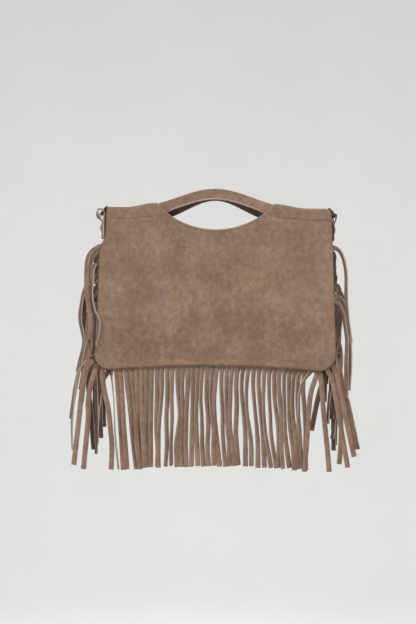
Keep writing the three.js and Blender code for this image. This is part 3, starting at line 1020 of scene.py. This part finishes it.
right_high_corner = [
    rooted(
        RIGHT, 88, [(151, -206), (155.6, -226), (162, -250), (168.5, -279), (174, -304)],
        rows=(-1, 1), turns=(30, 30, 20), tone=-0.06,
    ),
    rooted(
        RIGHT, 70, [(148, -211), (152, -232), (157.8, -260), (163.8, -288), (169.6, -312)],
        rows=(-4, -4), turns=(6, 4, -4),
    ),
    rooted(
        RIGHT, 50, [(146, -214), (149, -236), (152.6, -264), (153, -290), (151, -322)],
        rows=(-1, 0), turns=(26, 40, 34), tone=-0.04,
    ),
]


def side_rim(side):
    straight = [(Vector((edge_x(side, z), 0, z)), Vector((side, 0, 0))) for z in even(-56, CORNER_Z, 24)]
    return straight + [rim_place(side, turn) for turn in even(90, 47, 6)[1:]]


left_strands = side_strands(LEFT, hand_placed(LEFT, left_table), left_high_corner, seed=21)
right_strands = side_strands(RIGHT, hand_placed(RIGHT, right_table), right_high_corner, seed=34)
fringe_piece("left_fringe", left_strands, side_rim(LEFT), "fringe_left")
fringe_piece("right_fringe", right_strands, side_rim(RIGHT), "fringe_right")

# %% [markdown]
# ## Ring tabs
# A tab is a short strap folded over the ring's bar, its two layers riveted together and sewn to the
# bag's side edge. Seen from the front it is edge-on: two pale cut layers with a dark line between.
# The strap is a grid carried along that folded line. It narrows a little under the bar, so that the
# ring's bow can pass on both sides of it when the ring swings down.

# %% Fold both tabs
TAB_WIDTH = 14.0
TAB_LAYER = {LEFT: 1.5, RIGHT: 1.1}
# The right tab's cut edges take the darker suede: painted shade, while the left ones show their pale cut
# fibre.
TAB_EDGE_AND_SHADE = {LEFT: CUT_EDGE, RIGHT: SHADE_PAINTED_SUEDE}

# The strap's middle line at its front and its back edge, as (outward, up) from the ring's bar:
# up the inner layer, over the bar and down the outer one. The left one has worked loose.
LOOSE_FRONT = [(-3.25, -29), (-3.25, -19), (-3.2, -10), (-3.4, -3), (-3.8, 1.5)]
LOOSE_FRONT += [(-3.1, 5.4), (-0.1, 6.6), (3.3, 6), (3.9, 3), (2.4, -0.6)]
LOOSE_FRONT += [(0.3, -4.6), (-1.1, -9), (-1.4, -15), (-1.4, -21), (-1.4, -29)]
LOOSE_BACK = [(-3.25, -29), (-3.2, -19), (-2.6, -10.5), (-1.6, -6), (-3.2, 0.6)]
LOOSE_BACK += [(-2, 6), (1.3, 7.4), (4.7, 5.8), (6.3, 1.6), (5.2, -2.8)]
LOOSE_BACK += [(0.6, -6.6), (-0.8, -9.8), (-1.3, -15), (-1.4, -21), (-1.4, -29)]
TIGHT_FRONT = [(-2.4, -29), (-2.4, -19), (-2.4, -10), (-2.4, -4), (-2.2, 0.6)]
TIGHT_FRONT += [(-1.4, 2.4), (0.3, 2.7), (1.7, 1.8), (2, -0.4), (1.4, -3.6)]
TIGHT_FRONT += [(0.1, -7), (-0.9, -11), (-1.1, -17), (-1.1, -23), (-1.1, -29)]
TIGHT_BACK = [(-2.4, -29), (-2.4, -19), (-1.8, -9), (-0.3, -4.8), (-2.1, 0.4)]
TIGHT_BACK += [(-1.4, 2.8), (0.5, 3.1), (2.1, 2), (2.4, -0.4), (1.7, -3.8)]
TIGHT_BACK += [(0.3, -7.4), (-0.8, -11.4), (-1.1, -17), (-1.1, -23), (-1.1, -29)]
TAB_FOLD = {LEFT: (LOOSE_FRONT, LOOSE_BACK), RIGHT: (TIGHT_FRONT, TIGHT_BACK)}
TAB_STEPS = 5
WAIST, WAIST_Z, WAIST_SPAN = 0.15, -7.8, 5.5


def tab_layers(side):
    """How far out the middles of the inner and the outer layer are."""
    fold = TAB_FOLD[side][0]
    bar = abs(ring_bar(side).x)
    return bar + fold[0][0], bar + fold[-1][0]


def tab_line(side, fold):
    bar = ring_bar(side)
    return flowing([bar + Vector((side * out, 0, up)) for out, up in fold], TAB_STEPS)


def ring_bar(side):
    joint = next(j for j in frame["joints"] if j["name"].startswith(SIDE_NAME[side]))
    return Vector(joint["pos_m"]) / MM


def tab_sheet(side):
    bar = ring_bar(side)
    front, back = (tab_line(side, fold) for fold in TAB_FOLD[side])

    def at(k, across):
        place = front[k].lerp(back[k], 0.5 + across / TAB_WIDTH)
        share = 1 - WAIST * hump(place.z - bar.z, WAIST_Z, WAIST_SPAN)
        return Vector((place.x, across * share, place.z))

    bm = draped(list(range(len(front))), even(-TAB_WIDTH / 2, TAB_WIDTH / 2, 8), at)
    # Painted shade: a low tone darkens the inner layer up to the top of the fold, where it lies behind the
    # outer layer and the ring.
    tone = bm.verts.layers.float.new("tone")
    for i, vert in enumerate(bm.verts):
        vert[tone] = -0.5 * (1 - ease(i % len(front), 7 * TAB_STEPS, 8 * TAB_STEPS))
    return bm


for side, name in SIDE_NAME.items():
    finishes = [SUEDE, TAB_EDGE_AND_SHADE[side], SUEDE]
    tab = make_piece(f"{name}_ring_tab", tab_sheet(side), finishes, stands_for=[f"tab_{name}"])
    give_thickness(tab, TAB_LAYER[side], 0)

# %% [markdown]
# ## Side welts
# Above the fringe the two panels close on a narrow welt of suede, and the tab is sewn against it.
# From the front it is a thin dark line between panel and tab; its darkness is painted shade, made with the
# darker suede copy.

# %% Both welts
WELT_TOP, WELT_FOOT, WELT_HALF = -17, -55, 2
for side, name in SIDE_NAME.items():
    inner = tab_layers(side)[0] - TAB_LAYER[side] / 2

    def at(v, y, side=side, inner=inner):
        z = lerp(WELT_TOP, WELT_FOOT, v)
        bulge = 0.7 * hump(z, -28, 6) if side == LEFT else 0
        return Vector((side * (inner + bulge - 0.15 - 0.4 * (y / WELT_HALF) ** 2), y, z))

    bm = draped(even(0, 1, 16), even(-WELT_HALF, WELT_HALF, 4), at)
    # The darker suede copy paints the shade of the seam gap.
    welt = make_piece(f"{name}_side_welt", bm, [SHADE_PAINTED_SUEDE])
    give_thickness(welt, 3.4, -side)

# %% [markdown]
# ## Rings, rivets and snap
# Metal parts are turned or bent. A turned part is a profile spun about its axis; the D-ring is a
# round wire whose bow is spun through half a turn, with straight arms drawn down to the bar.

# %% Turned metal
def turned_part(profile, steps=40):
    """Spins a profile of (radius, height) about the Z axis."""
    bm = bmesh.new()
    verts = [bm.verts.new((r, 0, h)) for r, h in profile]
    edges = [bm.edges.new(pair) for pair in zip(verts, verts[1:])]
    spun = verts + edges
    bmesh.ops.spin(
        bm, geom=spun, axis=(0, 0, 1), cent=(0, 0, 0), angle=2 * math.pi, steps=steps, use_merge=True
    )
    bmesh.ops.remove_doubles(bm, verts=bm.verts, dist=1e-5)
    bmesh.ops.recalc_face_normals(bm, faces=bm.faces)
    return bm


def dome(radius, base, rise, steps=8):
    return [(radius * math.cos(a), base + rise * math.sin(a)) for a in even(0.12, math.pi / 2, steps)]


def rivet_part(side):
    profile = [(0, -4.6), (2.7, -4.6), (2.7, -4.0), (1.5, -3.9), (1.5, 0), (4.7, 0), (5.0, 0.25)]
    bm = turned_part(profile + dome(5.0, 0.25, 1.6))
    bmesh.ops.rotate(bm, matrix=Matrix.Rotation(side * math.pi / 2, 3, "Y"), verts=bm.verts)
    low, high = (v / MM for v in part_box(f"rivet_{SIDE_NAME[side]}"))
    seat = side * (tab_layers(side)[1] + TAB_LAYER[side] / 2)
    bmesh.ops.translate(bm, vec=(seat, 0, (low.z + high.z) / 2), verts=bm.verts)
    return bm


for side, name in SIDE_NAME.items():
    make_piece(
        f"{name}_domed_rivet", rivet_part(side), [BRASS], stands_for=[f"rivet_{name}"]
    )

# %% D-rings
WIRE = 1.3
RING_HALF = 8.8
RING_ARM = 2.6
RING_LEAN = math.radians(35)


def ring_part(side):
    bm = bmesh.new()
    circle = bmesh.ops.create_circle(bm, segments=14, radius=WIRE)["verts"]
    bmesh.ops.translate(bm, vec=(0, -RING_HALF, 0), verts=circle)
    arm = bmesh.ops.extrude_edge_only(bm, edges=bm.edges[:])["geom"]
    top = [g for g in arm if isinstance(g, bmesh.types.BMVert)]
    bmesh.ops.translate(bm, vec=(0, 0, RING_ARM), verts=top)
    loop = [g for g in arm if isinstance(g, bmesh.types.BMEdge)]
    spun = bmesh.ops.spin(
        bm, geom=top + loop, axis=(1, 0, 0), cent=(0, 0, RING_ARM), angle=-math.pi, steps=36
    )["geom_last"]
    last = bmesh.ops.extrude_edge_only(
        bm, edges=[g for g in spun if isinstance(g, bmesh.types.BMEdge)]
    )["geom"]
    bmesh.ops.translate(
        bm, vec=(0, 0, -RING_ARM), verts=[g for g in last if isinstance(g, bmesh.types.BMVert)]
    )
    bmesh.ops.remove_doubles(bm, verts=bm.verts, dist=1e-4)
    bmesh.ops.holes_fill(bm, edges=[e for e in bm.edges if e.is_boundary], sides=0)
    bmesh.ops.recalc_face_normals(bm, faces=bm.faces)
    bar = bmesh.new()
    bmesh.ops.create_cone(
        bar, cap_ends=True, segments=18, radius1=WIRE, radius2=WIRE, depth=2 * RING_HALF + 1.4
    )
    caps = [e for e in bar.edges if abs(e.verts[0].co.z - e.verts[1].co.z) < 0.1]
    bmesh.ops.bevel(bar, geom=caps, offset=0.5, affect="EDGES", segments=3, profile=0.5, material=-1)
    bmesh.ops.rotate(bar, matrix=Matrix.Rotation(math.pi / 2, 3, "X"), verts=bar.verts)
    mesh = bpy.data.meshes.new("bar")
    bar.to_mesh(mesh)
    bar.free()
    bm.from_mesh(mesh)
    bpy.data.meshes.remove(mesh)
    bmesh.ops.rotate(bm, matrix=Matrix.Rotation(-side * RING_LEAN, 3, "Y"), verts=bm.verts)
    bmesh.ops.translate(bm, vec=ring_bar(side), verts=bm.verts)
    return bm


for side, name in SIDE_NAME.items():
    make_piece(
        f"{name}_brass_ring",
        ring_part(side),
        [BRASS],
        body=f"{name}_ring",
        stands_for=[f"d_ring_{name}"],
    )

# %% Magnetic snap and its washers
SNAP_Z = 0.5 * (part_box("snap_stud")[0].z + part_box("snap_stud")[1].z) / MM


def snap_piece(name, profile, finish, node):
    bm = turned_part(profile)
    bmesh.ops.rotate(bm, matrix=Matrix.Rotation(-math.pi / 2, 3, "X"), verts=bm.verts)
    bmesh.ops.translate(bm, vec=(0, 0, SNAP_Z), verts=bm.verts)
    make_piece(name, bm, [finish], stands_for=[node])


stud_profile = [(0, -5.4), (1.2, -5.4), (1.2, -2.5), (6.6, -2.5), (7.0, -2.1), (7.0, -1.0)]
stud_profile += [(6.6, -0.6), (2.9, -0.6), (2.9, 0.4), (2.6, 0.6), (0, 0.6)]
socket_profile = [(0, 0.9), (3.2, 0.9), (3.2, -0.3), (6.6, -0.3), (7.0, 0.1), (7.0, 2.1)]
socket_profile += [(6.6, 2.5), (1.2, 2.5), (1.2, 5.4), (0, 5.4)]
plate_profile = [(1.6, 4.3), (4.8, 4.3), (5.0, 4.5), (5.0, 4.8), (4.8, 4.9), (1.6, 4.9), (1.6, 4.3)]
for name, profile in (("stud", stud_profile), ("socket", socket_profile)):
    snap_piece(f"magnetic_{name}", profile, BRASS, f"snap_{name}")
for name, facing in (("stud", -1), ("socket", 1)):
    profile = [(r, facing * h) for r, h in plate_profile]
    snap_piece(f"{name}_plate", profile, STEEL, f"{name}_washer")

# %% [markdown]
# ## Stitches
# A row of lockstitch holds the hem. Each stitch is a short thread that dips at both ends, so a
# stretched ball of a few dozen faces is enough, laid along the row and sunk halfway into its valley.

# %% Sew the mouth
STITCH = 2.3
STITCH_GAP = 2.0
THREAD_WIDE, THREAD_HIGH = 0.40, 0.45


def stitch_row(points):
    bm = bmesh.new()
    for place, heading in points:
        made = bmesh.ops.create_uvsphere(bm, u_segments=6, v_segments=5, radius=1)["verts"]
        bmesh.ops.scale(bm, vec=(STITCH / 2, THREAD_WIDE, THREAD_HIGH), verts=made)
        bmesh.ops.rotate(bm, matrix=Matrix.Rotation(-heading, 3, "Y"), verts=made)
        bmesh.ops.translate(bm, vec=place, verts=made)
    return bm


def hem_points(seed):
    points = []
    x = -TOP_HALF + PINCH[LEFT] + 5
    while x < TOP_HALF - 6:
        slope = (hem_line(x + 0.4) - hem_line(x - 0.4)) / 0.8
        heading = math.atan(clamp(slope, -1.5, 1.5))
        z = hem_line(x)
        depth = plain_depth(x, z) + relief(x, z, seed)
        points.append((Vector((x, -(depth + 0.02), z)), heading))
        x += (STITCH + STITCH_GAP) * math.cos(heading)
    return points


make_piece("front_hem_stitches", stitch_row(hem_points(FRONT_DENTS)), [THREAD_AND_HOLE_SHADE])
make_piece("back_hem_stitches", facing_back(stitch_row(hem_points(BACK_DENTS))), [THREAD_AND_HOLE_SHADE])

# %% [markdown]
# ## Studio
# A pale paper bowl runs from the floor up into the wall on every side, so there is no horizon and
# any camera sees the same plain ground. Light is soft: open sky over the bowl, a key lamp high in
# front and a broad, weaker fill low on the left. Two more lamps behind the bag light only the paper,
# one the wall and one the floor, which makes the ground paler downwards. The lamps don't show.

# %% Paper bowl, lamps and sky
def paper_finish():
    material, shader, place = new_finish("studio_paper", 0.95, Specular_IOR_Level=0.1)
    fibre = cloudy(place, 3.0, 2.0)
    stops = {"stops": [(0.2, (0.855, 0.847, 0.829)), (0.8, (0.885, 0.877, 0.859))]}
    feed(shader, "Base Color", place.node("ShaderNodeValToRGB", stops, {"Fac": fibre}))
    return material


def studio_bowl():
    floor, radius, bend, wall = -1.05, 3.6, 1.2, 3.4
    profile = [(0.0, floor), (1.2, floor), (radius - bend, floor)]
    for a in even(0, math.pi / 2, 12)[1:]:
        profile.append((radius - bend + bend * math.sin(a), floor + bend - bend * math.cos(a)))
    profile.append((radius, wall))
    bm = turned_part(profile, 64)
    bmesh.ops.reverse_faces(bm, faces=bm.faces)
    mesh = bpy.data.meshes.new("studio_bowl")
    bm.to_mesh(mesh)
    bm.free()
    mesh.shade_smooth()
    mesh.materials.append(paper_finish())
    bowl = bpy.data.objects.new("studio_bowl", mesh)
    bpy.context.scene.collection.objects.link(bowl)


def lamp(name, place, target, size, power):
    data = bpy.data.lights.new(name, "AREA")
    data.shape = "DISK"
    data.size = size
    data.energy = power
    made = bpy.data.objects.new(name, data)
    made.location = place
    made.rotation_euler = (Vector(target) - Vector(place)).to_track_quat("-Z", "Y").to_euler()
    made.visible_camera = False
    bpy.context.scene.collection.objects.link(made)


studio_bowl()
BAG_MIDDLE = (0, 0, -0.16)
lamp("key_lamp", (0.25, -1.5, 1.15), BAG_MIDDLE, 0.7, 31)
lamp("fill_lamp", (-0.7, -2.5, -0.25), BAG_MIDDLE, 1.4, 17)
lamp("wall_lamp", (0.0, 1.2, 2.4), (0, 2.6, -0.6), 2.0, 9)
lamp("floor_lamp", (0.0, 1.3, -0.1), (0, 2.3, -1.1), 1.8, 10)
world = bpy.data.worlds.new("sky")
world.use_nodes = True
world.node_tree.nodes["Background"].inputs["Color"].default_value = (0.95, 0.97, 1.0, 1)
world.node_tree.nodes["Background"].inputs["Strength"].default_value = 0.42
bpy.context.scene.world = world
bpy.context.scene.view_settings.view_transform = "Standard"

# %% [markdown]
# ## Camera
# A long lens from straight in front keeps the bag's edges square. It could stand nearer with a wider
# lens, but then the side strands would lean outwards. It is rolled by half a degree.

# %% Camera
DISTANCE = 1.456
camera_data = bpy.data.cameras.new("camera")
camera_data.lens = 70
camera = bpy.data.objects.new("camera", camera_data)
camera.location = (-0.0078, -DISTANCE, -0.1366)
camera.rotation_euler = (math.radians(90), math.radians(-0.5), 0)
bpy.context.scene.collection.objects.link(camera)
bpy.context.scene.camera = camera

# %% [markdown]
# ## Update
# The view layer is brought up to date.

# %% Update
bpy.context.view_layer.update()
